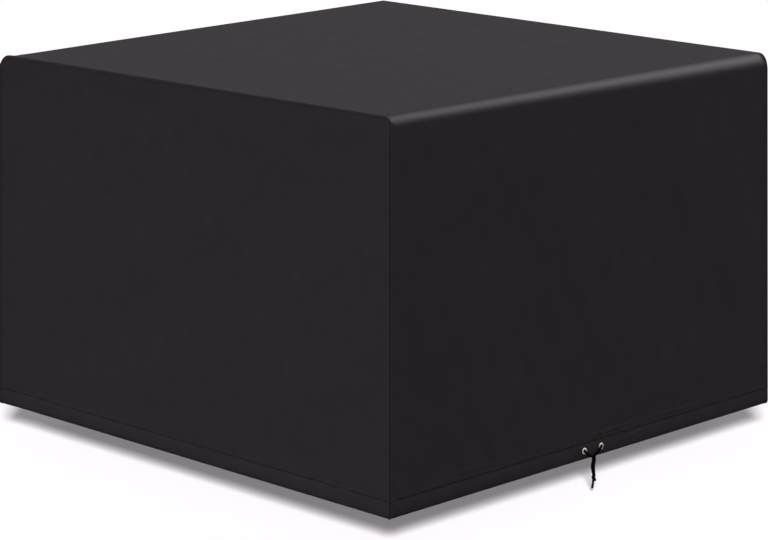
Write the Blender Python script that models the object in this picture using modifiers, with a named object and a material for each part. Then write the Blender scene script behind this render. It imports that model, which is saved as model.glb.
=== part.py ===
"""Fitted patio furniture cover of woven cloth, hanging as it does over square furniture.

One long strip panel makes the wall with the eyelets (facing +X), the top and the opposite wall. It
turns over both edges in soft folds. Two flat end panels (facing -Y and +Y) are sewn into it along
three sides each. The hem is turned up inside all round, and a tie cord comes out of two brass eyelets.

Metres, +Z up. The origin is the middle of the top's underside, where the cover rests on what it covers.
"""
import math

import bmesh
import bpy
from mathutils import Vector

# Driving sizes: the cover
WIDTH = 1.067  # X, from fold to fold at the top
DEPTH = 1.052  # Y, from seam to seam at the top
HEIGHT = 0.708  # from the hem to the outer face of the top
LEAN = 0.015  # how much further out each wall hangs at the hem than at the top
CLOTH = 0.0015  # thickness of one layer
GAP = 0.0003  # between pieces that touch

# How far each corner of the top lies above or below its middle, by the signs of x and y
CORNER_RISE = {(1, -1): 0.0014, (-1, -1): -0.0053, (1, 1): -0.0013, (-1, 1): 0.0053}
# Outer radius of the strip's fold where it meets an end panel, by the signs of x and y
FOLD_RADIUS = {(1, -1): 0.0135, (-1, -1): 0.0110, (1, 1): 0.0235, (-1, 1): 0.0150}
FOLD_STEPS = 7  # facets round a fold
TOP_SPANS = 8  # facets across the top, along X
STRIP_SPANS = 8  # facets along the strip's width, along Y

# The hem, turned up inside
HEM_HEIGHT = 0.0290  # from the bottom edge to the row of stitches
HEM_ALLOWANCE = 0.0040  # the cloth that runs on above the stitches
HEM_FOLD = 0.0060  # outer thickness of the fold at the bottom edge
HEM_PINCH = 0.0004  # between the two layers at the stitches
HEM_TURN_STEPS = 6  # facets round the fold
HEM_RISE_STEPS = 5  # facets up the inner layer
HEM_END_INSET = 0.0070  # the strip's turned-up layer stops this far short of its edges
PANEL_SPANS = 6  # facets across an end panel between its rounded corners
WALL_ROWS = 4  # facets down an end panel

# Eyelets, in the middle of the hem of the wall facing +X
EYELET_SPACING = 0.0478
EYELET_MIDDLE_Y = 0.0033
EYELET_RISE = 0.0142  # centre above the bottom edge
EYELET_HOLE_R = 0.0029
EYELET_BARREL_R = 0.0036
EYELET_FLANGE_R = 0.0065
EYELET_BACK_R = 0.0053
EYELET_CROWN = 0.0012  # height of the rounded front flange
EYELET_BACK = 0.0005  # thickness of the rolled back edge
EYELET_SEGMENTS = 28
CLOTH_HOLE_R = EYELET_BARREL_R + GAP

# Tie cord. Routes are points from an eyelet to the knot: out from the wall's face, along Y, above the hem
CORD_DIAMETER = 0.0043
CORD_POINT_STEP = 0.0022  # distance between the points of a strand's line
STRAND_ROUTE = {
    "near": (
        (-0.0025, -0.0208, 0.0147), (0.0015, -0.0206, 0.0138), (0.0051, -0.0196, 0.0117),
        (0.0077, -0.0173, 0.0084), (0.0088, -0.0133, 0.0056), (0.0077, -0.0072, 0.0029),
        (0.0059, -0.0027, -0.0015), (0.0045, -0.0009, -0.0074), (0.0036, -0.0014, -0.0123),
        (0.0033, -0.0025, -0.0177), (0.0047, -0.0031, -0.0232), (0.0062, -0.0037, -0.0282),
        (0.0076, -0.0039, -0.0320),
    ),
    "far": (
        (-0.0025, 0.0277, 0.0140), (0.0008, 0.0271, 0.0143), (0.0040, 0.0255, 0.0149),
        (0.0066, 0.0225, 0.0154), (0.0080, 0.0186, 0.0152), (0.0087, 0.0148, 0.0133),
        (0.0089, 0.0112, 0.0092), (0.0075, 0.0086, 0.0062), (0.0044, 0.0069, 0.0029),
        (0.0021, 0.0067, -0.0015), (0.0014, 0.0080, -0.0079), (0.0015, 0.0068, -0.0137),
        (0.0025, 0.0044, -0.0193), (0.0045, 0.0021, -0.0256), (0.0060, 0.0010, -0.0323),
    ),
}

# The knot: a core that the two strands enter, a wrap round it and the two free ends below
KNOT_MIDDLE = (0.0070, -0.0018, -0.0388)  # out from the wall's face, along Y, above the hem
KNOT_CORE = (0.0030, 0.0031, 0.0046)  # half sizes
KNOT_WRAP_R = 0.0026  # from the core's axis to the middle of the wrap
KNOT_WRAP_CORD = 0.0018
KNOT_WRAPS = ((0.0017, math.radians(32.0)), (-0.0017, math.radians(-22.0)))  # height and tilt
KNOT_WRAP_HEADING = math.radians(-45.0)  # the wraps tilt about this direction, from +X
KNOT_ENTRY = 0.0016  # how far a strand runs straight on into the knot
FREE_ENDS = {  # from the knot's middle to the tip: out, along Y, up
    "short": ((0.0, 0.0012, -0.0018), (0.0004, 0.0032, -0.0050), (0.0006, 0.0044, -0.0086)),
    "long": (
        (0.0, -0.0004, -0.0020),
        (0.0002, -0.0014, -0.0090),
        (0.0, -0.0025, -0.0158),
        (-0.0003, -0.0035, -0.0216),
    ),
}

# Finishes: colour, roughness, metallic
CLOTH_FINISH = ("oxford_cloth", (0.018, 0.017, 0.019), 0.75, 0.0)
BRASS_FINISH = ("brass", (0.62, 0.52, 0.30), 0.32, 1.0)
CORD_FINISH = ("tie_cord", (0.006, 0.006, 0.007), 0.85, 0.0)

TOP_Z = CLOTH  # outer face of the top at its middle
HEM_Z = TOP_Z - HEIGHT  # bottom edge of the hem
HALF = CLOTH / 2.0
HEM_R = HEM_FOLD / 2.0 - HALF  # middle of the cloth round the fold
SIDES = (1, -1)


def clear_scene():
    for thing in list(bpy.data.objects):
        bpy.data.objects.remove(thing, do_unlink=True)


def new_collection(name):
    collection = bpy.data.collections.new(name)
    bpy.context.scene.collection.children.link(collection)
    return collection


def new_material(name, colour, roughness, metallic):
    material = bpy.data.materials.new(name)
    material.use_nodes = True
    shader = material.node_tree.nodes["Principled BSDF"]
    shader.inputs["Base Color"].default_value = (*colour, 1.0)
    shader.inputs["Roughness"].default_value = roughness
    shader.inputs["Metallic"].default_value = metallic
    return material


def new_object(name, mesh, collection, material=None):
    thing = bpy.data.objects.new(name, mesh)
    collection.objects.link(thing)
    if material:
        mesh.materials.append(material)
    return thing


def outset(z):
    """How far a wall's face at height z lies outside the top's edge."""
    return LEAN * (TOP_Z - z) / HEIGHT


def top_height(x, y):
    """Height of the top's outer face: it runs straight between corners that differ a little."""
    u = 0.5 + x / WIDTH
    v = 0.5 + y / DEPTH
    near = CORNER_RISE[-1, -1] * (1.0 - u) + CORNER_RISE[1, -1] * u
    far = CORNER_RISE[-1, 1] * (1.0 - u) + CORNER_RISE[1, 1] * u
    return TOP_Z + near * (1.0 - v) + far * v


def fold_radius(side, y):
    share = min(max(0.5 + y / DEPTH, 0.0), 1.0)
    return FOLD_RADIUS[side, -1] * (1.0 - share) + FOLD_RADIUS[side, 1] * share


def fold_points(side, y, inset):
    """The rounded bend from the top down into a wall, as x and z, for a line inset from the outer face."""
    corner = Vector((side * (WIDTH / 2.0 - inset), top_height(side * WIDTH / 2.0, y) - inset))
    far_height = top_height(-side * WIDTH / 2.0, y) - inset
    along = Vector((-side * WIDTH, far_height - corner.y)).normalized()
    down = Vector((side * LEAN / HEIGHT, -1.0)).normalized()
    radius = fold_radius(side, y) - inset
    half_angle = along.angle(down) / 2.0
    centre = corner + (along + down).normalized() * radius / math.sin(half_angle)
    reach = radius / math.tan(half_angle)
    start = corner + along * reach - centre
    sweep = start.angle_signed(corner + down * reach - centre)
    points = []
    for step in range(FOLD_STEPS + 1):
        turn = -sweep * step / FOLD_STEPS
        cos, sin = math.cos(turn), math.sin(turn)
        points.append((centre.x + start.x * cos - start.y * sin, centre.y + start.x * sin + start.y * cos))
    return points


def hem_points():
    """The turned-up hem from the wall's end to the raw edge, as inward distance and height above the bottom."""
    fold_top = HEM_FOLD / 2.0
    points = []
    for step in range(HEM_TURN_STEPS + 1):
        turn = math.pi * step / HEM_TURN_STEPS
        points.append((HEM_R * (1.0 - math.cos(turn)), fold_top - HEM_R * math.sin(turn)))
    pinched = CLOTH + HEM_PINCH
    for step in range(1, HEM_RISE_STEPS + 1):
        share = step / HEM_RISE_STEPS
        eased = share * share * (3.0 - 2.0 * share)
        height = fold_top + (HEM_HEIGHT - fold_top) * share
        points.append((2.0 * HEM_R + (pinched - 2.0 * HEM_R) * eased, height))
    points.append((pinched, HEM_HEIGHT + HEM_ALLOWANCE))
    return points


def grid_mesh(name, rows):
    """A sheet from rows of points, each row as long as the next."""
    bm = bmesh.new()
    grid = [[bm.verts.new(point) for point in row] for row in rows]
    for row, after in zip(grid, grid[1:]):
        for a, b, c, d in zip(row, row[1:], after[1:], after):
            bm.faces.new((a, b, c, d))
    bmesh.ops.recalc_face_normals(bm, faces=bm.faces)
    mesh = bpy.data.meshes.new(name)
    bm.to_mesh(mesh)
    bm.free()
    return mesh


def thicken(thing):
    solid = thing.modifiers.new("cloth", "SOLIDIFY")
    solid.thickness = CLOTH
    solid.offset = 0.0
    solid.use_even_offset = True


def strip_section(y_top):
    """One line across the strip, from one raw hem edge over the top to the other. Points are
    x, z and how far the cloth stops short of the strip's edge there."""
    half_sections = {}
    for side in SIDES:
        fold = [(x, z, 0.0) for x, z in fold_points(side, y_top, HALF)]
        hem = []
        for inward, height in hem_points():
            z = HEM_Z + height
            short = HEM_END_INSET if inward > 0.0 else 0.0
            hem.append((side * (WIDTH / 2.0 + outset(z) - HALF - inward), z, short))
        half_sections[side] = fold + hem
    right, left = half_sections[1], half_sections[-1]
    x_right, x_left = right[0][0], left[0][0]
    top = []
    for step in range(1, TOP_SPANS):
        x = x_left + (x_right - x_left) * step / TOP_SPANS
        top.append((x, top_height(x, y_top) - HALF, 0.0))
    return left[::-1] + top + right


def strip_panel(collection, material):
    rows = []
    for step in range(STRIP_SPANS + 1):
        share = 2.0 * step / STRIP_SPANS - 1.0
        section = strip_section(share * DEPTH / 2.0)
        rows.append([(x, share * (DEPTH / 2.0 + outset(z) - short), z) for x, z, short in section])
    strip = new_object("strip_panel", grid_mesh("strip_panel", rows), collection, material)
    thicken(strip)
    return strip


def end_panel(name, side, collection, material):
    """The wall facing side * Y. Its edge lies just inside the strip all the way round."""
    inset = CLOTH + GAP
    y_top = side * DEPTH / 2.0
    left = fold_points(-1, y_top, inset)[::-1]
    right = fold_points(1, y_top, inset)
    span = [
        (left[-1][0] + (right[0][0] - left[-1][0]) * step / PANEL_SPANS,
         left[-1][1] + (right[0][1] - left[-1][1]) * step / PANEL_SPANS)
        for step in range(1, PANEL_SPANS)
    ]
    top_edge = left + span + right
    edge_x = WIDTH / 2.0 - inset
    rows = []
    for x, z in top_edge:
        column = []
        wall_end = HEM_Z + HEM_FOLD / 2.0
        for step in range(WALL_ROWS):
            column.append((z + (wall_end - z) * step / WALL_ROWS, 0.0))
        column += [(HEM_Z + height, inward) for inward, height in hem_points()]
        widened = x / (edge_x + outset(z)) if abs(x) > edge_x / 2.0 else x / edge_x
        rows.append([
            (widened * (edge_x + outset(low)), side * (DEPTH / 2.0 + outset(low) - HALF - inward), low)
            for low, inward in column
        ])
    panel = new_object(name, grid_mesh(name, rows), collection, material)
    thicken(panel)
    return panel


def wall_point(out, y, rise):
    """A point given by its distance in front of the +X wall's face, its y and its height above the hem."""
    z = HEM_Z + rise
    return Vector((WIDTH / 2.0 + outset(z) + out, y, z))


def eyelet_places():
    half = EYELET_SPACING / 2.0
    return {"near": EYELET_MIDDLE_Y - half, "far": EYELET_MIDDLE_Y + half}


def face_outwards(thing, y):
    """Stand a turned piece on the wall's face, its axis square to it."""
    thing.location = wall_point(0.0, y, EYELET_RISE)
    thing.rotation_euler = (0.0, math.pi / 2.0 - math.atan(LEAN / HEIGHT), 0.0)


def cut_eyelet_hole(strip, name, y, cutters):
    bpy.ops.mesh.primitive_cylinder_add(vertices=EYELET_SEGMENTS, radius=CLOTH_HOLE_R, depth=0.004)
    cutter = bpy.context.object
    cutter.name = "eyelet_hole_" + name
    for collection in list(cutter.users_collection):
        collection.objects.unlink(cutter)
    cutters.objects.link(cutter)
    face_outwards(cutter, y)
    cutter.hide_render = True
    cutter.display_type = "WIRE"
    cut = strip.modifiers.new("eyelet_hole_" + name, "BOOLEAN")
    cut.operation = "DIFFERENCE"
    cut.object = cutter


def eyelet(name, y, collection, material):
    """A rounded front flange, the barrel through the cloth and the rolled edge behind it."""
    back = -CLOTH - GAP
    front_rim = (EYELET_HOLE_R + EYELET_FLANGE_R) / 2.0
    profile = (
        (EYELET_HOLE_R + 0.0005, GAP + 0.90 * EYELET_CROWN),
        (front_rim, GAP + EYELET_CROWN),
        (EYELET_FLANGE_R - 0.0007, GAP + 0.75 * EYELET_CROWN),
        (EYELET_FLANGE_R, GAP + 0.30 * EYELET_CROWN),
        (EYELET_FLANGE_R - 0.0002, GAP),
        (EYELET_BARREL_R, GAP),
        (EYELET_BARREL_R, back),
        (EYELET_BACK_R, back),
        (EYELET_BACK_R - 0.0002, back - EYELET_BACK),
        (EYELET_HOLE_R + 0.0004, back - EYELET_BACK),
        (EYELET_HOLE_R, back - EYELET_BACK + 0.0004),
        (EYELET_HOLE_R, GAP + 0.50 * EYELET_CROWN),
    )
    bm = bmesh.new()
    ring = [bm.verts.new((radius, 0.0, axial)) for radius, axial in profile]
    for a, b in zip(ring, ring[1:] + ring[:1]):
        bm.edges.new((a, b))
    mesh = bpy.data.meshes.new("eyelet_" + name)
    bm.to_mesh(mesh)
    bm.free()
    ring_object = new_object("eyelet_" + name, mesh, collection, material)
    screw = ring_object.modifiers.new("turn", "SCREW")
    screw.axis = "Z"
    screw.angle = math.tau
    screw.steps = EYELET_SEGMENTS
    screw.render_steps = EYELET_SEGMENTS
    screw.use_merge_vertices = True
    screw.merge_threshold = 0.00001
    face_outwards(ring_object, y)
    return ring_object


def smooth_line(points, step_length):
    """Points about step_length apart on a Catmull-Rom curve through the given points."""
    ghost_start = points[0] * 2.0 - points[1]
    ghost_end = points[-1] * 2.0 - points[-2]
    padded = [ghost_start] + points + [ghost_end]
    line = [points[0]]
    for before, a, b, after in zip(padded, padded[1:], padded[2:], padded[3:]):
        pieces = max(1, round((b - a).length / step_length))
        for piece in range(1, pieces + 1):
            t = piece / pieces
            line.append(0.5 * (
                2.0 * a + (b - before) * t
                + (2.0 * before - 5.0 * a + 4.0 * b - after) * t * t
                + (3.0 * a - before - 3.0 * b + after) * t * t * t
            ))
    return line


def cord_curve(name, points, collection, material):
    curve = bpy.data.curves.new(name, "CURVE")
    curve.dimensions = "3D"
    curve.bevel_depth = CORD_DIAMETER / 2.0
    curve.bevel_resolution = 2
    curve.use_fill_caps = True
    line = smooth_line(points, CORD_POINT_STEP)
    spline = curve.splines.new("POLY")
    spline.points.add(len(line) - 1)
    for spot, point in zip(spline.points, line):
        spot.co = (*point, 1.0)
    strand = bpy.data.objects.new(name, curve)
    collection.objects.link(strand)
    curve.materials.append(material)
    return strand


def curve_to_mesh(thing, collection):
    """Turn a cord's curve into one closed mesh object, so that it can be joined to others."""
    evaluated = thing.evaluated_get(bpy.context.evaluated_depsgraph_get())
    mesh = bpy.data.meshes.new_from_object(evaluated)
    bm = bmesh.new()
    bm.from_mesh(mesh)
    bmesh.ops.remove_doubles(bm, verts=bm.verts, dist=0.00001)
    bm.to_mesh(mesh)
    bm.free()
    made = new_object(thing.name + "_solid", mesh, collection)
    made.matrix_world = thing.matrix_world
    bpy.data.objects.remove(thing, do_unlink=True)
    return made


def strand_points(name):
    return [wall_point(*point) for point in STRAND_ROUTE[name]]


def knot_entry(name, middle):
    """The end of a strand inside the knot, from just below the strand's own end to the core."""
    before, tip = strand_points(name)[-2:]
    heading = (tip - before).normalized()
    return [tip + heading * GAP, tip + heading * KNOT_ENTRY, tip.lerp(middle, 0.9)]


def tie_knot(collection, cutters, material):
    middle = wall_point(*KNOT_MIDDLE)
    mesh = bpy.data.meshes.new("tie_knot")
    bm = bmesh.new()
    bmesh.ops.create_uvsphere(bm, u_segments=18, v_segments=11, radius=1.0)
    bmesh.ops.scale(bm, vec=KNOT_CORE, verts=bm.verts)
    bm.to_mesh(mesh)
    bm.free()
    knot = new_object("tie_knot", mesh, collection, material)
    knot.location = middle
    joined = []
    for index, (rise, tilt) in enumerate(KNOT_WRAPS):
        bpy.ops.mesh.primitive_torus_add(
            major_radius=KNOT_WRAP_R, minor_radius=KNOT_WRAP_CORD, major_segments=20, minor_segments=10
        )
        wrap = bpy.context.object
        wrap.name = "knot_wrap_%d" % index
        wrap.location = middle + Vector((0.0, 0.0, rise))
        wrap.rotation_euler = (tilt, 0.0, KNOT_WRAP_HEADING)
        joined.append(wrap)
    cords = {"free_end_" + name: [middle + Vector(point) for point in route] for name, route in FREE_ENDS.items()}
    cords.update({"entry_" + name: knot_entry(name, middle) for name in STRAND_ROUTE})
    for name, points in cords.items():
        joined.append(curve_to_mesh(cord_curve(name, points, cutters, material), cutters))
    for piece in joined:
        for owner in list(piece.users_collection):
            owner.objects.unlink(piece)
        cutters.objects.link(piece)
        piece.hide_render = True
        piece.display_type = "WIRE"
        union = knot.modifiers.new(piece.name, "BOOLEAN")
        union.operation = "UNION"
        union.object = piece
    return knot


def smooth(thing):
    thing.data.shade_smooth()
    thing.data.set_sharp_from_angle(angle=math.radians(40.0))


def main():
    clear_scene()
    cover = new_collection("patio_furniture_cover")
    cutters = new_collection("cutters")
    cloth = new_material(*CLOTH_FINISH)
    brass = new_material(*BRASS_FINISH)
    cord = new_material(*CORD_FINISH)

    strip = strip_panel(cover, cloth)
    smooth(strip)
    for name, side in (("end_panel_front", -1), ("end_panel_back", 1)):
        smooth(end_panel(name, side, cover, cloth))
    for name, y in eyelet_places().items():
        cut_eyelet_hole(strip, name, y, cutters)
        eyelet(name, y, cover, brass)
    for name in STRAND_ROUTE:
        cord_curve("tie_strand_" + name, strand_points(name), cover, cord)
    tie_knot(cover, cutters, cord)


main()
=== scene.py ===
"""The looks of a fitted patio furniture cover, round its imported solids.

The cloth is modelled as sheets: one strip that makes two walls and the top, and two end panels sewn
into it. Their edges roll inwards at the seams, their hems are turned up inside round a tie cord, and
the stitches pull the cloth into small puckers. Metres, +Z up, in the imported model's own frame.
"""
import math
import random

import bmesh
import bpy
import numpy as np
from mathutils import Matrix, Vector


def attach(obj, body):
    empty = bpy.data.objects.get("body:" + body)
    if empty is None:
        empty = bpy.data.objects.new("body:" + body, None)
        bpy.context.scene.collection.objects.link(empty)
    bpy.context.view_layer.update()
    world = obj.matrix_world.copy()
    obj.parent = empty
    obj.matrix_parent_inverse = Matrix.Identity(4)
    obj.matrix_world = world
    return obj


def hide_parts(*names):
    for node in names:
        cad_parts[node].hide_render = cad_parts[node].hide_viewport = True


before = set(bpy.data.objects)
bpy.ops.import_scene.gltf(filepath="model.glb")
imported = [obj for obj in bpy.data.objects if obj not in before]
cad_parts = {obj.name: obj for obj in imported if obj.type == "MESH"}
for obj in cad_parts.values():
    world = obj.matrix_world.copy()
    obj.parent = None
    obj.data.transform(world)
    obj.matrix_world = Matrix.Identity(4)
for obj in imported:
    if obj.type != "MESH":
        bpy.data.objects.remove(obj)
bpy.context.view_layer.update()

# The cover, as in part.py
WIDTH = 1.067  # X, from fold to fold at the top
DEPTH = 1.052  # Y, from seam to seam at the top
HEIGHT = 0.708  # from the hem to the outer face of the top
LEAN = 0.015  # how much further out each wall hangs at the hem than at the top
CORNER_RISE = {(1, -1): 0.0014, (-1, -1): -0.0053, (1, 1): -0.0013, (-1, 1): 0.0053}
# Outer radius of the strip's folds, east and west: places along Y and the radius there
FOLD_RADIUS = {
    1: ((-0.526, 0.0115), (-0.512, 0.0205), (-0.446, 0.0212), (-0.330, 0.0216), (-0.230, 0.0220),
        (0.030, 0.0250), (0.300, 0.0278), (0.446, 0.0286), (0.520, 0.0290), (0.526, 0.0190)),
    -1: ((-0.526, 0.0270), (-0.520, 0.0365), (-0.510, 0.0380), (-0.498, 0.0320), (-0.480, 0.0280),
         (-0.400, 0.0258), (-0.290, 0.0236), (-0.140, 0.0216), (0.000, 0.0202), (0.300, 0.0190),
         (0.430, 0.0165), (0.526, 0.0150)),
}
TOP_Z = 0.0015
HEM_Z = TOP_Z - HEIGHT
HEM_HEIGHT = 0.0290  # from the bottom edge to the row of stitches
RAW_EDGE = 0.0330  # the turned-up cloth's edge inside
HEM_FOLD = 0.0060  # outer thickness of the fold at the bottom edge
EYELET_Y = {"near": -0.0206, "far": 0.0272}
EYELET_RISE = 0.0142
CORD_DIAMETER = 0.0043
STRAND_ROUTE = {  # out from the eyelet wall's face, along Y, above the hem
    "near": (
        (-0.0025, -0.0208, 0.0147), (0.0015, -0.0206, 0.0138), (0.0051, -0.0196, 0.0117),
        (0.0077, -0.0173, 0.0084), (0.0088, -0.0133, 0.0056), (0.0077, -0.0072, 0.0029),
        (0.0059, -0.0027, -0.0015), (0.0045, -0.0009, -0.0074), (0.0036, -0.0014, -0.0123),
        (0.0033, -0.0025, -0.0177), (0.0047, -0.0031, -0.0232), (0.0062, -0.0037, -0.0282),
        (0.0076, -0.0039, -0.0320),
    ),
    "far": (
        (-0.0025, 0.0277, 0.0140), (0.0008, 0.0271, 0.0143), (0.0040, 0.0255, 0.0149),
        (0.0066, 0.0225, 0.0154), (0.0080, 0.0186, 0.0152), (0.0087, 0.0148, 0.0133),
        (0.0089, 0.0112, 0.0092), (0.0075, 0.0086, 0.0062), (0.0044, 0.0069, 0.0029),
        (0.0021, 0.0067, -0.0015), (0.0014, 0.0080, -0.0079), (0.0015, 0.0068, -0.0137),
        (0.0025, 0.0044, -0.0193), (0.0045, 0.0021, -0.0256), (0.0060, 0.0010, -0.0323),
    ),
}
KNOT_MIDDLE = (0.0070, -0.0018, -0.0388)
KNOT_WRAP_R = 0.0026
KNOT_WRAP_CORD = 0.0018
KNOT_WRAPS = ((0.0017, math.radians(32.0)), (-0.0017, math.radians(-22.0)))  # height and tilt
KNOT_WRAP_HEADING = math.radians(-45.0)  # the wraps tilt about this direction, from +X
FREE_ENDS = {  # from the knot's middle to the tip: out, along Y, up
    "short": ((0.0, 0.0012, -0.0018), (0.0004, 0.0032, -0.0050), (0.0006, 0.0044, -0.0086)),
    "long": (
        (0.0, -0.0004, -0.0020), (0.0002, -0.0014, -0.0090), (0.0, -0.0025, -0.0158),
        (-0.0003, -0.0035, -0.0216),
    ),
}

# The camera, from the photograph's vanishing points
CAMERA_PLACE = (3.9564, -4.0039, 0.8471)
CAMERA_HEADING = math.radians(44.66)  # left of +Y
CAMERA_DIP = math.radians(12.83)  # below the horizon
CAMERA_LENS = 135.94  # on a sensor 36 mm wide
SENSOR = 36.0

# Cloth as it is shown
CLOTH = 0.0005
ROLL_R = 0.0006  # outer radius of the roll at a seam
ROLL_STEPS = 7
SEAM_GAP = 0.00015
ALLOWANCE = 0.008  # the cloth that runs on inside a seam
ALLOWANCE_STEPS = 3
ROLL_START = ROLL_R * (1.0 + math.sqrt(2.0)) + SEAM_GAP  # from the corner to where the roll starts
# The layers inside a seam push it out of the faces' planes in a narrow ridge
WALL_STAND = 0.0016
TOP_STAND = {-1: 0.0006, 1: 0.0}  # by the sign of y
STAND_REACH = 0.0060
WEST_PULL = 0.0020  # towards the west the cloth beside the seams stands out with them
PULL_REACH = 0.060
CORNER_EASE = {1: 0.0125, -1: 0.0200}  # how round the ridge turns at a panel's upper corners
HEM_CORNER = 0.0070  # the turned-up layers stop this far short of the corners
CALM_SEAM, FREE_CLOTH = ROLL_START - 0.0005, ROLL_START + 0.0025  # the relief grows between these from a seam

# The hem's relief
HEM_DROP = 0.0026  # the fold at the bottom sags that far
HEM_TUCK = 0.0024  # and turns inwards that far
HEM_PUFF = 0.0004
STITCH_DIP = 0.0005
STITCH_DIP_WIDTH = {1: 0.0010, -1: 0.0050}  # above and below the stitches
EDGE_MARK = 0.00015  # the raw edge inside shows as a faint step
PUCKER = 0.0007
PUCKER_LENGTH = 0.017
# Larger puckers that the photograph shows: place along the wall, height, half length, slope, depth
PUCKERS = {
    "front": (
        (-0.43, 0.04, 0.034, -0.2, 0.0009), (-0.3, 0.052, 0.05, -0.14, 0.001),
        (0.07, 0.07, 0.052, -0.16, 0.0008), (0.236, 0.056, 0.014, 0.5, 0.001),
        (0.33, 0.066, 0.036, -0.3, 0.0008), (0.43, 0.026, 0.03, -0.22, 0.0008),
    ),
    "east": (
        (0.06, 0.042, 0.074, 0.02, 0.0011), (0.112, 0.0185, 0.03, 0.1, 0.0007),
        (0.25, 0.041, 0.076, 0.01, 0.0008), (0.29, 0.073, 0.05, -0.03, 0.0009),
        (-0.32, 0.045, 0.06, -0.02, 0.0007), (-0.505, 0.04, 0.016, -0.7, 0.001),
        (-0.06, 0.034, 0.016, 0.35, 0.0008),
    ),
    "back": (
        (-0.15, 0.05, 0.05, 0.18, 0.0009), (0.26, 0.06, 0.04, -0.12, 0.0009),
    ),
    "west": (
        (-0.2, 0.052, 0.045, 0.14, 0.0009), (0.31, 0.046, 0.036, -0.2, 0.0009),
    ),
}
PUCKER_WIDTH = 0.0026
EYELET_CALM = (0.0066, 0.0125)  # the relief fades away between these distances from an eyelet
EYELET_PUCKER = 0.00035
EYELET_PUCKER_WIDTH = 0.0038
EYELET_PUCKERS = 7.0  # round an eyelet
EYELET_PHASE = 90.0  # turns the two eyelets' puckers differently

# Gentle relief of the faces
WALL_SWELL = 0.0009
SWELL_LENGTH = 0.26
WALL_RIPPLE = 0.00030
RIPPLE_LENGTH = 0.060
PUFF_LENGTH = 0.055
GATHER_LENGTH = 0.19
TOP_SAG = 0.0012
TOP_RIPPLE = 0.00035
TOP_RIPPLE_LENGTH = 0.090
TOP_SEED = 5
SEAM_RIDGE_AT = 0.0086  # a faint ridge over the allowance's edge inside
SEAM_RIDGE = 0.00035
SEAM_DIP_AT = 0.0052
SEAM_DIP = 0.00012
WALL_SEED = {"east": 11, "west": 23, "front": 37, "back": 41}
RIPPLE_WAVES = 7

# How fine the sheets are
BROAD_STEP = 0.0125
MIDDLE_STEP = 0.0040
MIDDLE_REACH = 0.030  # how far it goes beside the eyelets
FOLD_STEPS = 12
TOP_MARGIN = 0.015  # the folds take about that much of the top
HEM_TURN_STEPS = 8
HEM_RISE_STEPS = 7
HOLE_BLOCK = 0.0070  # half the square round an eyelet that is rebuilt with a hole
HOLE_CELLS_Y = 4
HOLE_CELLS_Z = 6
HOLE_R = 0.0041

STRIP_WALLS = {"east": 1.0, "west": -1.0}
END_WALLS = {"back": 1.0, "front": -1.0}
FOLD_R = HEM_FOLD / 2.0
HEM_PINCHED = 0.0020


# ---------------------------- camera

def make_camera():
    data = bpy.data.cameras.new("camera")
    data.lens = CAMERA_LENS
    data.sensor_width = SENSOR
    data.clip_start = 0.05
    data.clip_end = 200.0
    camera = make_object("camera", data)
    camera.location = CAMERA_PLACE
    camera.rotation_euler = (math.pi / 2.0 - CAMERA_DIP, 0.0, CAMERA_HEADING)
    bpy.context.scene.camera = camera


# ---------------------------- small helpers

def unit(vector):
    vector = np.asarray(vector, float)
    return vector / np.linalg.norm(vector)


def eased(low, high, value):
    """0 below low, 1 above high, and a smooth rise between."""
    share = np.clip((np.asarray(value, float) - low) / (high - low), 0.0, 1.0)
    return share * share * (3.0 - 2.0 * share)


def hump(value, middle, width):
    return np.exp(-(((value - middle) / width) ** 2))


def ripples(u, v, length, seed):
    """Irregular waves about that long, mostly between -1 and 1."""
    rng = random.Random(seed)
    total = 0.0
    for _ in range(RIPPLE_WAVES):
        heading = rng.uniform(0.0, math.tau)
        pitch = math.tau / (length * rng.uniform(0.7, 1.5))
        phase = rng.uniform(0.0, math.tau)
        total = total + np.sin(pitch * (u * math.cos(heading) + v * math.sin(heading)) + phase)
    return total / math.sqrt(RIPPLE_WAVES)


def between(low, high, step):
    """Evenly spaced values strictly between two, about step apart."""
    pieces = max(1, round((high - low) / step))
    return [low + (high - low) * index / pieces for index in range(1, pieces)]


def make_object(name, data):
    thing = bpy.data.objects.new(name, data)
    bpy.context.scene.collection.objects.link(thing)
    return thing


def mesh_object(name, points, faces, material, uvs=None):
    mesh = bpy.data.meshes.new(name)
    mesh.from_pydata([tuple(point) for point in points], [], [tuple(face) for face in faces])
    if uvs is not None:
        layer = mesh.uv_layers.new(name="cloth")
        corners = np.zeros(len(mesh.loops), dtype=np.int32)
        mesh.loops.foreach_get("vertex_index", corners)
        layer.data.foreach_set("uv", np.asarray(uvs, float)[corners].ravel())
    mesh.shade_smooth()
    mesh.materials.append(material)
    return make_object(name, mesh)


def grid_faces(index, keep=None):
    """Quads between neighbouring rows and columns of a table of vertex numbers."""
    quads = np.stack([index[:-1, :-1], index[:-1, 1:], index[1:, 1:], index[1:, :-1]], axis=-1)
    return list(quads.reshape(-1, 4) if keep is None else quads[keep])


def join_parts(name, parts, material):
    points, faces = [], []
    for part_points, part_faces in parts:
        start = len(points)
        points += part_points
        faces += [tuple(start + corner for corner in face) for face in part_faces]
    thing = mesh_object(name, points, faces, material)
    bm = bmesh.new()
    bm.from_mesh(thing.data)
    bmesh.ops.recalc_face_normals(bm, faces=bm.faces)
    bm.to_mesh(thing.data)
    bm.free()
    thing.data.shade_smooth()
    return thing


def number_grid(points, uvs):
    """A grid's points and cloth places as lists, the table of their numbers, and which quads to keep."""
    rows, columns = points.shape[:2]
    index = np.arange(rows * columns).reshape(rows, columns)
    keep = np.ones((rows - 1, columns - 1), bool)
    return list(points.reshape(-1, 3)), list(uvs.reshape(-1, 2)), index, keep


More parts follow.
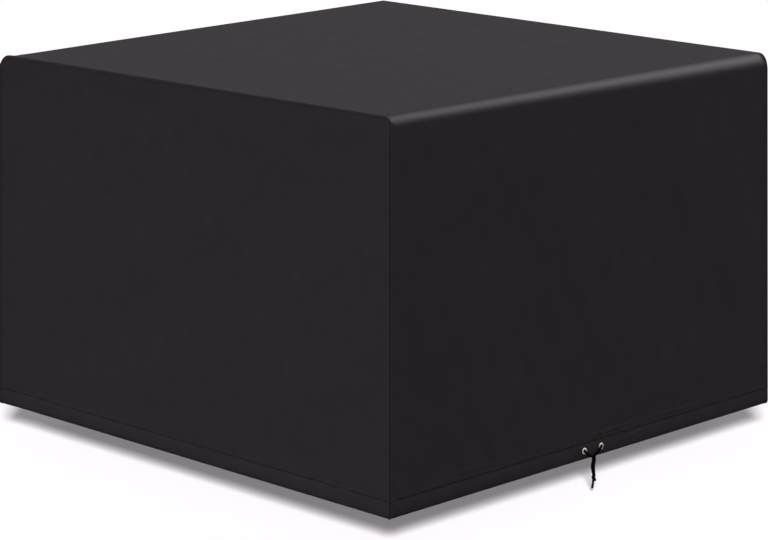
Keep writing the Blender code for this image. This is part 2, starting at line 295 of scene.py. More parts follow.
def tube_faces(start, rings, sides, closed=False):
    """Quads between rings of points, the first at number start. A tube that isn't closed has two caps."""
    faces = []
    for ring in range(rings if closed else rings - 1):
        low, high = start + ring * sides, start + (ring + 1) % rings * sides
        for step in range(sides):
            after = (step + 1) % sides
            faces.append((low + step, low + after, high + after, high + step))
    if not closed:
        last = start + (rings - 1) * sides
        faces.append(tuple(reversed(range(start, start + sides))))
        faces.append(tuple(range(last, last + sides)))
    return faces


def give_thickness(thing):
    solid = thing.modifiers.new("cloth", "SOLIDIFY")
    solid.thickness = CLOTH
    solid.offset = -1.0
    bpy.context.view_layer.objects.active = thing
    with bpy.context.temp_override(object=thing, active_object=thing, selected_objects=[thing]):
        bpy.ops.object.modifier_apply(modifier=solid.name)


# ---------------------------- the cover's shape

def outset(z):
    """How far a wall's face at height z lies outside the top's edge."""
    return LEAN * (TOP_Z - z) / HEIGHT


def top_height(x, y):
    """Height of the top's face: it runs straight between corners that differ a little."""
    u = 0.5 + x / WIDTH
    v = 0.5 + y / DEPTH
    near = CORNER_RISE[-1, -1] * (1.0 - u) + CORNER_RISE[1, -1] * u
    far = CORNER_RISE[-1, 1] * (1.0 - u) + CORNER_RISE[1, 1] * u
    return TOP_Z + near * (1.0 - v) + far * v


def fold_arc(side, y_top):
    """The bend from a wall up into the top: points and face directions, as x and z."""
    corner = np.array([side * WIDTH / 2.0, top_height(side * WIDTH / 2.0, y_top)])
    other = np.array([-side * WIDTH / 2.0, top_height(-side * WIDTH / 2.0, y_top)])
    along = unit(other - corner)
    down = unit((side * LEAN / HEIGHT, -1.0))
    places, radii = zip(*FOLD_RADIUS[side])
    radius = float(np.interp(y_top, places, radii))
    half_angle = math.acos(float(along @ down)) / 2.0
    centre = corner + unit(along + down) * radius / math.sin(half_angle)
    up_face = math.atan2(abs(along[0]), -along[1] * np.sign(along[0]))
    out_face = math.atan2(LEAN / HEIGHT, float(side))
    turns = np.linspace(out_face, up_face, FOLD_STEPS + 1)
    faces = np.stack([np.cos(turns), np.sin(turns)], axis=1)
    return centre + radius * faces, faces


def hem_z(height):
    """Height of a point above the bottom edge, in the frame: the lowest few millimetres sag a little."""
    return HEM_Z + height - HEM_DROP * (1.0 - eased(0.0, 0.007, height))


def hem_tuck(height):
    return HEM_TUCK * (1.0 - eased(0.0, 0.005, height))


def drawn_out(distance):
    """Share of the pull that the cloth follows at a distance from a seam."""
    return eased(PULL_REACH, ROLL_START, distance)


def seam_stand(x, y, z, distance, drawn):
    """How far the cloth stands out at a place that far from a seam. Along the top it lies flatter."""
    behind = np.asarray(y) > 0.0
    on_top = eased(-0.030, -0.010, z)
    ridge = WALL_STAND + (np.where(behind, TOP_STAND[1], TOP_STAND[-1]) - WALL_STAND) * on_top
    pull = WEST_PULL * (1.0 - eased(-WIDTH / 2.0, WIDTH / 2.0, x)) * (1.0 - on_top * behind)
    return ridge * eased(STAND_REACH, ROLL_START, distance) + pull * drawn


def half_width(wall, height):
    """From a wall's middle to its seam."""
    span = DEPTH if wall in STRIP_WALLS else WIDTH
    return span / 2.0 + outset(HEM_Z + height)


def below_top(wall, u, height):
    return top_height(u, END_WALLS[wall] * DEPTH / 2.0) - HEM_Z - height


def seam_distance(wall, u, height):
    """From a place on a wall to the nearest seam, which on an end panel may be the one along its top."""
    beside = half_width(wall, height) - np.abs(u)
    if wall in STRIP_WALLS:
        return beside
    below = below_top(wall, u, height)
    ease = np.where(np.asarray(u) > 0.0, CORNER_EASE[1], CORNER_EASE[-1])
    in_corner = (beside < ease) & (below < ease)
    return np.where(in_corner, ease - np.hypot(ease - beside, ease - below), np.minimum(beside, below))


def wall_stand(wall, u, height):
    """How far a wall stands out next to its seams."""
    x = u if wall in END_WALLS else STRIP_WALLS[wall] * WIDTH
    y = u if wall in STRIP_WALLS else END_WALLS[wall] * DEPTH
    slack = 1.0 - drawn_out(half_width(wall, height) - np.abs(u))
    if wall in END_WALLS:
        slack = slack * (1.0 - drawn_out(below_top(wall, u, height)))
    return seam_stand(x, y, HEM_Z + height, seam_distance(wall, u, height), 1.0 - slack)


def wall_relief(wall, u, height):
    """How far a wall stands out of its plane, u along it and height above the bottom edge."""
    u, height = np.asarray(u, float), np.asarray(height, float)
    edge = seam_distance(wall, u, height)
    seed = WALL_SEED[wall]
    free = eased(0.004, 0.060, edge) * eased(HEIGHT, HEIGHT - 0.080, height)
    out = WALL_SWELL * ripples(u, height, SWELL_LENGTH, seed) * free * eased(HEM_HEIGHT, 0.14, height)
    out += WALL_RIPPLE * ripples(u, 0.6 * height, RIPPLE_LENGTH, seed + 1) * free
    in_hem = eased(0.003, 0.013, height) * eased(HEM_HEIGHT - 0.001, HEM_HEIGHT - 0.015, height)
    out += HEM_PUFF * in_hem * (1.0 + 0.45 * ripples(u, height, PUFF_LENGTH, seed + 2))
    near_stitches = hump(height, HEM_HEIGHT, 0.013)
    gather = ripples(u + 0.7 * height, 0.35 * height, PUCKER_LENGTH, seed + 3)
    strength = 0.55 + 0.45 * ripples(u, 0.0, GATHER_LENGTH, seed + 4)
    out += PUCKER * near_stitches * gather * np.clip(strength, 0.0, 1.0)
    over_edge = eased(HEM_HEIGHT + 0.001, HEM_HEIGHT + 0.002, height)
    out += EDGE_MARK * over_edge * eased(RAW_EDGE + 0.0015, RAW_EDGE, height)
    for place, rise, reach, slope, depth in PUCKERS[wall]:
        across = (height - rise) - slope * (u - place)
        crease = hump(across, 0.0, PUCKER_WIDTH) - 0.8 * hump(across, 1.6 * PUCKER_WIDTH, PUCKER_WIDTH)
        out += depth * hump(u, place, reach) * crease
    above = height > HEM_HEIGHT
    dip_width = np.where(above, STITCH_DIP_WIDTH[1], STITCH_DIP_WIDTH[-1])
    out -= STITCH_DIP * hump(height, HEM_HEIGHT, dip_width)
    beside_seam = SEAM_RIDGE * hump(edge, SEAM_RIDGE_AT, 0.0013) - SEAM_DIP * hump(edge, SEAM_DIP_AT, 0.0015)
    out += beside_seam * eased(HEIGHT - 0.012, HEIGHT - 0.030, height)
    out *= eased(CALM_SEAM, FREE_CLOTH, edge)
    out *= eased(0.0, 0.005, height)
    if wall in STRIP_WALLS:
        out *= eased(HEIGHT - 0.030, HEIGHT - 0.055, height)
    if wall == "east":
        for place in EYELET_Y.values():
            away = np.hypot(u - place, height - EYELET_RISE)
            round_it = np.arctan2(height - EYELET_RISE, u - place)
            out *= eased(*EYELET_CALM, away)
            waves = np.sin(EYELET_PUCKERS * round_it + EYELET_PHASE * place)
            out += EYELET_PUCKER * hump(away, EYELET_CALM[1], EYELET_PUCKER_WIDTH) * waves
    return out


def top_relief(x, y):
    edge_x, edge_y = WIDTH / 2.0 - np.abs(x), DEPTH / 2.0 - np.abs(y)
    free = eased(0.024, 0.110, edge_x) * eased(0.006, 0.090, edge_y)
    out = -TOP_SAG * free * (1.0 - (2.0 * x / WIDTH) ** 2) * (1.0 - (2.0 * y / DEPTH) ** 2)
    out += TOP_RIPPLE * ripples(x, y, TOP_RIPPLE_LENGTH, TOP_SEED) * free
    return out * eased(CALM_SEAM, FREE_CLOTH, edge_y)


def wall_point(out, y, rise):
    """A point by its distance in front of the eyelet wall, its y and its height above the hem."""
    z = HEM_Z + rise
    return Vector((WIDTH / 2.0 + outset(z) + out, y, z))


def roll_profile():
    """A sheet's edge at a seam, from the face inwards: depth below its own face, and distance from
    the neighbour's face."""
    profile = []
    for step in range(1, ROLL_STEPS + 1):
        turn = 0.75 * math.pi * step / ROLL_STEPS
        profile.append((ROLL_R * (1.0 - math.cos(turn)), ROLL_START - ROLL_R * math.sin(turn)))
    depth, distance = profile[-1]
    for step in range(1, ALLOWANCE_STEPS + 1):
        run = ALLOWANCE * step / ALLOWANCE_STEPS * math.sqrt(0.5)
        profile.append((depth + run, distance + run))
    return profile


def hole_lines(middle, cells):
    """Grid lines across the square round an eyelet."""
    return [middle - HOLE_BLOCK + 2.0 * HOLE_BLOCK * step / cells for step in range(cells + 1)]


def hem_rows():
    """The turned-up cloth, from the raw edge inside down to the bottom edge and round it: inward,
    height, and how far its face looks outward and downward."""
    rows = []
    for step in range(HEM_RISE_STEPS):
        share = 1.0 - step / HEM_RISE_STEPS
        inward = HEM_FOLD + (HEM_PINCHED - HEM_FOLD) * float(eased(0.0, 1.0, share))
        rows.append((inward, FOLD_R + (RAW_EDGE - FOLD_R) * share, -1.0, 0.0))
    for step in range(HEM_TURN_STEPS):
        turn = math.pi * (1.0 - step / HEM_TURN_STEPS)
        outward, downward = math.cos(turn), math.sin(turn)
        rows.append((FOLD_R * (1.0 - outward), FOLD_R * (1.0 - downward), outward, downward))
    return rows


HEM_ROWS = hem_rows()
LOWEST_ROW = HEM_RISE_STEPS + HEM_TURN_STEPS // 2
ROLL = roll_profile()


# Rows up a wall's hem, close together where the relief is fine
HEIGHTS = [FOLD_R, 0.0048] + hole_lines(EYELET_RISE, HOLE_CELLS_Z) + [
    0.0232, 0.025, 0.0264, 0.0275, 0.0283, 0.029, 0.0297, 0.0306, 0.0318, 0.033, 0.0345,
    0.0365, 0.039, 0.042, 0.0455, 0.0495, 0.054, 0.06, 0.066, 0.073, 0.081, 0.09,
]
WALL_ROWS = round((HEIGHT - HEIGHTS[-1]) / BROAD_STEP)
# Distances from a seam at which a sheet has columns, close together where it has its ridge
EDGE_DISTANCES = (
    ROLL_START, 0.0042, 0.005, 0.0058, 0.0066, HEM_CORNER, 0.0078, 0.0086, 0.0094, 0.0104,
    0.012, 0.0145, 0.018, 0.023, 0.03, 0.039,
)


# ---------------------------- the strip

def strip_columns():
    """Places along Y of the strip's columns, at the hem."""
    half = DEPTH / 2.0 + LEAN
    places = {-half + gap for gap in EDGE_DISTANCES} | {half - gap for gap in EDGE_DISTANCES}
    inner = half - EDGE_DISTANCES[-1]
    near, far = (hole_lines(place, HOLE_CELLS_Y) for place in sorted(EYELET_Y.values()))
    places |= set(near) | set(far) | set(between(near[-1], far[0], MIDDLE_STEP))
    low, high = near[0] - MIDDLE_REACH, far[-1] + MIDDLE_REACH
    places |= set(between(low, near[0], MIDDLE_STEP)) | {low}
    places |= set(between(far[-1], high, MIDDLE_STEP)) | {high}
    places |= set(between(-inner, low, BROAD_STEP)) | set(between(high, inner, BROAD_STEP))
    return sorted(places)


def strip_column(share):
    """One line of the strip at a share of its half depth, from the east wall's raw edge over the top
    to the west wall's. Rows of x, z, the face's direction, zone, height above the hem."""
    y_top = share * DEPTH / 2.0
    halves = {}
    for side in (1, -1):
        arc, arc_faces = fold_arc(side, y_top)
        wall_face = arc_faces[0]
        rows = []
        for inward, height, outward, downward in HEM_ROWS:
            z = hem_z(height)
            x = side * (WIDTH / 2.0 + outset(z) - max(inward, hem_tuck(height)))
            rows.append((x, z, outward * wall_face[0], outward * wall_face[1] - downward, 0, height))
        top_of_wall = arc[0][1] - HEM_Z
        heights = HEIGHTS + [
            HEIGHTS[-1] + (top_of_wall - HEIGHTS[-1]) * step / WALL_ROWS for step in range(1, WALL_ROWS)
        ]
        for height in heights:
            z = hem_z(height)
            x = side * (WIDTH / 2.0 + outset(z) - hem_tuck(height))
            rows.append((x, z, *wall_face, side, height))
        rows += [(*point, *face, 0, 0.0) for point, face in zip(arc, arc_faces)]
        halves[side] = rows
    east, west = halves[1], halves[-1]
    start, stop = np.array(east[-1][:2]), np.array(west[-1][:2])
    spans = round((WIDTH - 2.0 * TOP_MARGIN) / BROAD_STEP)
    top = []
    for step in range(1, spans):
        top.append((*(start + (stop - start) * step / spans), *east[-1][2:4], 2, 0.0))
    return np.array(east + top + west[::-1])


def corner_shift(rows_inward, distance):
    """Near a corner the hem's fold carries both sheets inwards together."""
    return rows_inward * (1.0 - eased(ROLL_START, HEM_CORNER, distance))


def build_strip(material):
    half_at_hem = DEPTH / 2.0 + LEAN
    places = strip_columns()
    # Share of the half depth, side of the roll, depth, distance from the neighbour's face
    columns = [(-1.0, -1, depth, distance) for depth, distance in reversed(ROLL)]
    columns += [(place / half_at_hem, 0, 0.0, half_at_hem - abs(place)) for place in places]
    columns += [(1.0, 1, depth, distance) for depth, distance in ROLL]
    count = len(HEM_ROWS)
    points, uvs, runs = [], [], []
    for share, roll, depth, distance in columns:
        x, z, face_x, face_z, zone, height = strip_column(share).T
        way = math.copysign(1.0, share)
        reach = DEPTH / 2.0 + outset(z)
        inward = np.zeros(len(x))
        inward[:count] = [row[0] for row in HEM_ROWS]
        inward[-count:] = inward[:count][::-1]
        y = way * (reach - distance) if roll else share * reach
        if distance < HEM_CORNER:
            y = y - way * corner_shift(np.minimum(inward, FOLD_R), distance)
        relief = np.zeros(len(x))
        if not roll:
            for wall, side in STRIP_WALLS.items():
                at = zone == side
                relief[at] = wall_relief(wall, y[at], height[at])
            at = zone == 2
            relief[at] = top_relief(x[at], y[at])
        stand = seam_stand(x, y, z, 0.0 if roll else distance, 1.0 if roll else drawn_out(distance))
        size = np.hypot(face_x, face_z)
        face_x, face_z = face_x / size, face_z / size
        in_hem = inward > 0.0
        stand_x = np.where(in_hem, np.sign(x), face_x)
        stand_z = np.where(in_hem, 0.0, face_z)
        out = relief - depth
        if roll:
            y = y + way * stand
        shown = (x + out * face_x + stand * stand_x, y, z + out * face_z + stand * stand_z)
        points.append(np.stack(shown, axis=1))
        runs.append(np.concatenate([[0.0], np.cumsum(np.hypot(np.diff(x), np.diff(z)))]))
        beyond = depth + max(0.0, ROLL_START - distance)
        across = way * (half_at_hem - ROLL_START + beyond) if roll else share * half_at_hem
        uvs.append(np.stack([np.full(len(x), across), runs[-1]], axis=1))
    points, uvs, index, keep = number_grid(np.stack(points, axis=1), np.stack(uvs, axis=1))
    gaps = np.array([distance if not roll else 0.0 for _, roll, _, distance in columns])
    clear = np.minimum(gaps[:-1], gaps[1:]) >= HEM_CORNER - 1e-6
    keep[:LOWEST_ROW, :] = clear
    keep[len(keep) - LOWEST_ROW:, :] = clear
    faces = []
    low_row = count + HEIGHTS.index(hole_lines(EYELET_RISE, HOLE_CELLS_Z)[0])
    for place in EYELET_Y.values():
        first = len(ROLL) + places.index(hole_lines(place, HOLE_CELLS_Y)[0])
        keep[low_row:low_row + HOLE_CELLS_Z, first:first + HOLE_CELLS_Y] = False
        faces += hole_patch(index, low_row, first, place, points, uvs, runs[first][low_row])
    faces += grid_faces(index, keep)
    strip = mesh_object("cover_strip", points, faces, material, uvs)
    tidy_sheet(strip)
    return strip, float(np.mean([run[-1] for run in runs]))


def hole_patch(index, low_row, first, place, points, uvs, v_low):
    """Cloth from a square of the grid in to the round hole behind an eyelet's flange."""
    rows = range(low_row, low_row + HOLE_CELLS_Z + 1)
    columns = range(first, first + HOLE_CELLS_Y + 1)
    loop = [index[low_row, c] for c in columns]
    loop += [index[r, columns[-1]] for r in rows[1:]]
    loop += [index[rows[-1], c] for c in reversed(columns[:-1])]
    loop += [index[r, first] for r in reversed(rows[1:-1])]
    rings = [loop]
    for radius_share in (0.45, 0.0):  # one ring between the square and the hole
        ring = []
        for corner in loop:
            start = points[corner]
            u, height = start[1] - place, start[2] - HEM_Z - EYELET_RISE
            reach = math.hypot(u, height)
            radius = HOLE_R + (reach - HOLE_R) * radius_share
            y, rise = place + u * radius / reach, EYELET_RISE + height * radius / reach
            ring.append(len(points))
            points.append(np.array(wall_point(float(wall_relief("east", y, rise)), y, rise)))
            uvs.append(np.array((y, v_low + rise - (EYELET_RISE - HOLE_BLOCK))))
        rings.append(ring)
    faces = []
    for outer, inner in zip(rings, rings[1:]):
        for a, b, c, d in zip(outer, outer[1:] + outer[:1], inner[1:] + inner[:1], inner):
            faces.append((a, b, c, d))
    return faces


def tidy_sheet(thing):
    """Drop unused points, turn all faces outwards and give the cloth its thickness."""
    bm = bmesh.new()
    bm.from_mesh(thing.data)
    bmesh.ops.delete(bm, geom=[v for v in bm.verts if not v.link_faces], context="VERTS")
    bmesh.ops.recalc_face_normals(bm, faces=bm.faces)
    facing = max(bm.faces, key=lambda face: face.calc_area())
    middle = Vector((0.0, 0.0, -HEIGHT / 2.0))
    if (facing.calc_center_median() - middle).dot(facing.normal) < 0.0:
        bmesh.ops.reverse_faces(bm, faces=bm.faces)
    bm.to_mesh(thing.data)
    bm.free()
    thing.data.shade_smooth()
    give_thickness(thing)


# ---------------------------- the end panels

def panel_outline(side):
    """The panel's top boundary at its roll's start, from west to east: x, z and the outward direction."""
    y_top = side * DEPTH / 2.0
    west, west_faces = fold_arc(-1, y_top)
    east, east_faces = fold_arc(1, y_top)
    west_in, east_in = west - ROLL_START * west_faces, east - ROLL_START * east_faces
    outline = [(*point, *face) for point, face in zip(west_in, west_faces)]
    start, stop = west_in[-1], east_in[-1]
    fine = [0.002, 0.0045, 0.008, 0.013, 0.020, 0.029]
    width = np.linalg.norm(stop - start)
    runs = fine + [fine[-1] + value for value in between(0.0, width - 2.0 * fine[-1], BROAD_STEP)]
    runs += [width - value for value in reversed(fine)]
    for run in runs:
        outline.append((*(start + (stop - start) * run / width), *west_faces[-1]))
    outline += [(*point, *face) for point, face in zip(east_in[::-1], east_faces[::-1])]
    return np.array(outline)


PANEL_DEPTHS = (0.0, 0.0008, 0.0017, 0.0026, 0.0035, 0.0045, 0.0056, 0.007, 0.009, 0.012, 0.017, 0.0240)


def build_panel(name, wall, material):
    side = END_WALLS[wall]
    outline = panel_outline(side)
    x_top, z_top = outline[:, 0], outline[:, 1]
    edge = WIDTH / 2.0 - ROLL_START
    heights = [z_top - HEM_Z - depth for depth in PANEL_DEPTHS]
    last = heights[-1]
    for step in range(1, WALL_ROWS):
        heights.append(last + (HEIGHTS[-1] - last) * step / WALL_ROWS)
    for height in reversed(HEIGHTS):
        heights.append(np.full(len(outline), height))
    rows = [(height, 0.0) for height in heights]
    rows += [(np.full(len(outline), row[1]), row[0]) for row in reversed(HEM_ROWS)]
    steady = np.abs(x_top) / edge
    points, uvs = [], []
    for height, inward in rows:
        z = hem_z(height)
        x = x_top + np.sign(x_top) * outset(z) * steady
        distance = WIDTH / 2.0 + outset(z) - np.abs(x)
        shift = corner_shift(min(inward, FOLD_R), distance)
        relief = wall_relief(wall, x, height) if inward == 0.0 else 0.0
        tucked = np.maximum(inward, hem_tuck(height))
        y = side * (DEPTH / 2.0 + outset(z) - tucked + relief + wall_stand(wall, x, height))
        points.append(np.stack([x - np.sign(x) * shift, y, z], axis=1))
        run = height if inward == 0.0 else -(inward + (0.0 if inward < HEM_FOLD * 0.99 else height))
        uvs.append(np.stack([x, run + np.zeros(len(x))], axis=1))
    bottom = len(rows) - 1 - LOWEST_ROW
    distance = WIDTH / 2.0 + LEAN - np.abs(points[bottom][:, 0])
    points, uvs, index, keep = number_grid(np.stack(points), np.stack(uvs))
    keep[bottom:, :] = np.minimum(distance[:-1], distance[1:]) >= HEM_CORNER - 1e-4
    faces = grid_faces(index, keep)

    # The roll runs along the boundary: up the west side, along the top and down the east side
    rim = [(index[row, 0], outline[0, 2:]) for row in range(bottom, 0, -1)]
    rim += [(index[0, column], outline[column, 2:]) for column in range(len(outline))]
    rim += [(index[row, -1], outline[-1, 2:]) for row in range(1, bottom + 1)]
    table = [[corner for corner, _ in rim]]
    for depth, distance in ROLL:
        ring = []
        for corner, face in rim:
            start = points[corner]
            out = ROLL_START - distance + float(seam_stand(start[0], side, start[2], 0.0, 1.0))
            ring.append(len(points))
            points.append(start + np.array([out * face[0], -side * depth, out * face[1]]))
            uvs.append(uvs[corner] + (depth + ROLL_START - distance) * face)
        table.append(ring)
    faces += grid_faces(np.array(table))
    panel = mesh_object(name, points, faces, material, uvs)
    tidy_sheet(panel)
    return panel


# ---------------------------- stitches

STITCH_PITCH = 0.0036
STITCH_LENGTH = 0.0027
STITCH_R = 0.00034
STITCH_SIDES = 6
STITCH_RINGS = ((-0.5, 0.35), (-0.38, 0.9), (0.0, 1.0), (0.38, 0.9), (0.5, 0.35))
STITCH_MARGIN = 0.0042  # from a seam to the first stitch
STITCH_TILT = 0.05
STITCH_LIFT = 0.00012


def wall_place(wall, u, height):
    """A point on a wall's face as it is shown, and the wall's outward direction."""
    z = HEM_Z + height
    out = float(wall_relief(wall, u, height) + wall_stand(wall, u, height))
    if wall in STRIP_WALLS:
        side = STRIP_WALLS[wall]
        return Vector((side * (WIDTH / 2.0 + outset(z) + out), u, z)), Vector((side, 0.0, 0.0))
    side = END_WALLS[wall]
    return Vector((u, side * (DEPTH / 2.0 + outset(z) + out), z)), Vector((0.0, side, 0.0))


def hem_stitches(name, walls, material):
    points, faces = [], []
    for wall in walls:
        rng = random.Random(WALL_SEED[wall])
        half = half_width(wall, HEM_HEIGHT) - STITCH_MARGIN
        count = int(2.0 * half / STITCH_PITCH)
        for number in range(count):
            middle = -half + (number + 0.5) * 2.0 * half / count
            tilt = rng.uniform(-STITCH_TILT, STITCH_TILT)
            lift = rng.uniform(-STITCH_LIFT, STITCH_LIFT)
            (a, face), (b, _) = (
                wall_place(wall, middle + reach, HEM_HEIGHT + lift + reach * tilt)
                for reach in (-0.5 * STITCH_LENGTH, 0.5 * STITCH_LENGTH)
            )
            along = (b - a).normalized()
            up = face.cross(along).normalized()
            start = len(points)
            for reach, size in STITCH_RINGS:
                centre = a.lerp(b, reach + 0.5) + face * (STITCH_R * (0.35 + 0.5 * (size - 0.9)))
                for step in range(STITCH_SIDES):
                    turn = math.tau * step / STITCH_SIDES
                    points.append(centre + (face * math.cos(turn) + up * math.sin(turn)) * STITCH_R * size)
            faces += tube_faces(start, len(STITCH_RINGS), STITCH_SIDES)
    return join_parts(name, [(points, faces)], material)


# ---------------------------- the tie cord

CORD_SIDES = 24
CORD_STEP = 0.00045
BRAID_DEPTH = 0.09  # share of the radius
BRAID_STRANDS = 6
BRAID_PITCH = 0.0078  # along the cord, for one turn of a strand
BRAID_MEAN = 0.85
TIP_ROUND = 0.8  # share of the radius over which a tip is drawn in
TIP_LEAST = 0.02
KNOT_ENTRY = 0.0016  # how far a strand runs straight on into the knot
KNOT_STEPS = 56


def smooth_line(points, step_length):
    """Points about step_length apart on a Catmull-Rom curve through the given points."""
    points = [Vector(point) for point in points]
    padded = [points[0] * 2.0 - points[1]] + points + [points[-1] * 2.0 - points[-2]]
    line = [points[0]]
    for before, a, b, after in zip(padded, padded[1:], padded[2:], padded[3:]):
        pieces = max(1, round((b - a).length / step_length))
        for piece in range(1, pieces + 1):
            t = piece / pieces
            line.append(0.5 * (
                2.0 * a + (b - before) * t
                + (2.0 * before - 5.0 * a + 4.0 * b - after) * t * t
                + (3.0 * a - before - 3.0 * b + after) * t * t * t
            ))
    return line


def line_length(line):
    return sum((b - a).length for a, b in zip(line, line[1:]))


def braided_tube(line, radius, closed=False, tip=False):
    """Points and faces of a braided cord along a line. A tip is drawn in to a rounded end."""
    count = len(line)
    points = []
    normal = None
    run = 0.0
    total = line_length(line)
    for number, place in enumerate(line):
        if closed:
            along = (line[(number + 1) % count] - line[number - 1]).normalized()
        else:
            along = (line[min(number + 1, count - 1)] - line[max(number - 1, 0)]).normalized()
        if normal is None:
            normal = along.orthogonal().normalized()
        normal = (normal - along * normal.dot(along)).normalized()
        other = along.cross(normal)
        size = 1.0
        left = (total - run) / (TIP_ROUND * radius)
        if tip and left < 1.0:
            size = math.sqrt(max(TIP_LEAST, min(1.0, 1.0 - (1.0 - left) ** 2)))
        for step in range(CORD_SIDES):
            turn = math.tau * step / CORD_SIDES
            twist = math.tau * run / BRAID_PITCH
            one = math.cos(BRAID_STRANDS / 2.0 * (turn + twist))
            two = math.cos(BRAID_STRANDS / 2.0 * (turn - twist))
            relief = 1.0 + BRAID_DEPTH * (max(abs(one), abs(two)) - BRAID_MEAN)
            points.append(place + (normal * math.cos(turn) + other * math.sin(turn)) * radius * relief * size)
        if number + 1 < count:
            run += (line[number + 1] - place).length
    return points, tube_faces(0, count, CORD_SIDES, closed)


def build_strand(name, material):
    line = smooth_line([wall_point(*point) for point in STRAND_ROUTE[name]], CORD_STEP)
    strand = join_parts("tie_cord_" + name, [braided_tube(line, CORD_DIAMETER / 2.0)], material)
    return strand, line


def wrap_line(middle, tilt):
    """One turn of the cord round the knot's middle."""
    turn = Matrix.Rotation(KNOT_WRAP_HEADING, 3, "Z") @ Matrix.Rotation(tilt, 3, "X")
    angles = [math.tau * step / KNOT_STEPS for step in range(KNOT_STEPS)]
    return [
        middle + turn @ Vector((KNOT_WRAP_R * math.cos(angle), KNOT_WRAP_R * math.sin(angle), 0.0))
        for angle in angles
    ]


def build_knot(strand_lines, material):
    middle = wall_point(*KNOT_MIDDLE)
    parts = []
    for rise, tilt in KNOT_WRAPS:
        ring = wrap_line(middle + Vector((0.0, 0.0, rise)), tilt)
        parts.append(braided_tube(ring, KNOT_WRAP_CORD, closed=True))
    for route in FREE_ENDS.values():
        line = smooth_line([middle + Vector(point) for point in route], CORD_STEP)
        parts.append(braided_tube(line, CORD_DIAMETER / 2.0, tip=True))
    for line in strand_lines:
        heading = (line[-1] - line[-4]).normalized()
        entry = [line[-1], line[-1] + heading * KNOT_ENTRY, line[-1].lerp(middle, 0.9)]
        parts.append(braided_tube(smooth_line(entry, CORD_STEP), CORD_DIAMETER / 2.0))
    return join_parts("tie_knot_braided", parts, material)


# ---------------------------- eyelets

EYELET_PROFILE = (  # radius and height along the axis, out of the wall's face
    (0.0034, 0.0002), (0.0035, 0.0009), (0.0038, 0.0013), (0.0043, 0.00147), (0.005, 0.0015),
    (0.0056, 0.00143), (0.0061, 0.0012), (0.0064, 0.0008), (0.0065, 0.0005), (0.0064, 0.00032),
    (0.006, 0.0003), (0.0038, 0.0003), (0.0038, -0.0018), (0.0053, -0.0018), (0.0053, -0.0021),
    (0.005, -0.0023), (0.0039, -0.0023), (0.0035, -0.0021), (0.0034, -0.0017),
)
EYELET_SEGMENTS = 72


def build_eyelet(name, material):
    turn = Matrix.Rotation(math.pi / 2.0 - math.atan(LEAN / HEIGHT), 3, "Y")
    place = wall_point(0.0, EYELET_Y[name], EYELET_RISE)
    points = []
    for radius, axial in EYELET_PROFILE:
        for step in range(EYELET_SEGMENTS):
            angle = math.tau * step / EYELET_SEGMENTS
            points.append(place + turn @ Vector((radius * math.cos(angle), radius * math.sin(angle), axial)))
    faces = tube_faces(0, len(EYELET_PROFILE), EYELET_SEGMENTS, closed=True)
    return join_parts("brass_eyelet_" + name, [(points, faces)], material)


# ---------------------------- materials

class Nodes:
    """Short names for building a node tree."""

    def __init__(self, material):
        material.use_nodes = True
        self.tree = material.node_tree
        self.shader = self.tree.nodes["Principled BSDF"]

    def add(self, kind, **settings):
        node = self.tree.nodes.new(kind)
        for key, value in settings.items():
            setattr(node, key, value)
        return node

    def link(self, source, target):
        self.tree.links.new(source, target)

    def feed(self, source, name):
        self.link(source, self.shader.inputs[name])

    def place(self):
        return self.add("ShaderNodeTexCoord").outputs["Object"]

    def ramp(self, value, *stops):
        """A colour between two stops, each a position and a colour."""
        node = self.add("ShaderNodeValToRGB")
        for element, (position, colour) in zip(node.color_ramp.elements, stops):
            element.position = position
            element.color = (*colour, 1.0)
        self.link(value, node.inputs["Fac"])
        return node.outputs["Color"]

    def math(self, operation, *values):
        node = self.add("ShaderNodeMath", operation=operation)
        for socket, value in zip(node.inputs, values):
            if isinstance(value, float):
                socket.default_value = value
            else:
                self.link(value, socket)
        return node.outputs[0]

    def noise(self, vector, scale, detail=2.0, roughness=0.5):
        node = self.add("ShaderNodeTexNoise")
        node.inputs["Scale"].default_value = scale
        node.inputs["Detail"].default_value = detail
        node.inputs["Roughness"].default_value = roughness
        self.link(vector, node.inputs["Vector"])
        return node.outputs["Fac"]

    def stretched(self, vector, scale):
        node = self.add("ShaderNodeMapping")
        node.inputs["Scale"].default_value = scale
        self.link(vector, node.inputs["Vector"])
        return node.outputs["Vector"]

    def bump(self, height, distance, strength, normal=None):
        node = self.add("ShaderNodeBump")
        node.inputs["Distance"].default_value = distance
        node.inputs["Strength"].default_value = strength
        self.link(height, node.inputs["Height"])
        if normal:
            self.link(normal, node.inputs["Normal"])
        return node.outputs["Normal"]


def new_material(name, colour, roughness, metallic=0.0, specular=0.5):
    material = bpy.data.materials.new(name)
    nodes = Nodes(material)
    nodes.shader.inputs["Base Color"].default_value = (*colour, 1.0)
    nodes.shader.inputs["Roughness"].default_value = roughness
    nodes.shader.inputs["Metallic"].default_value = metallic
    nodes.shader.inputs["Specular IOR Level"].default_value = specular
    return material, nodes


THREAD = 0.00065  # pitch of the woven threads
CLOTH_COLOUR = (0.0105, 0.00885, 0.0105)
CLOTH_ROUGHNESS = 0.35
CLOTH_SPECULAR = 0.03
DIAGONAL_PITCH = 0.0042
DIAGONAL_STRENGTH = 0.15
MOTTLE_STRENGTH = 0.13


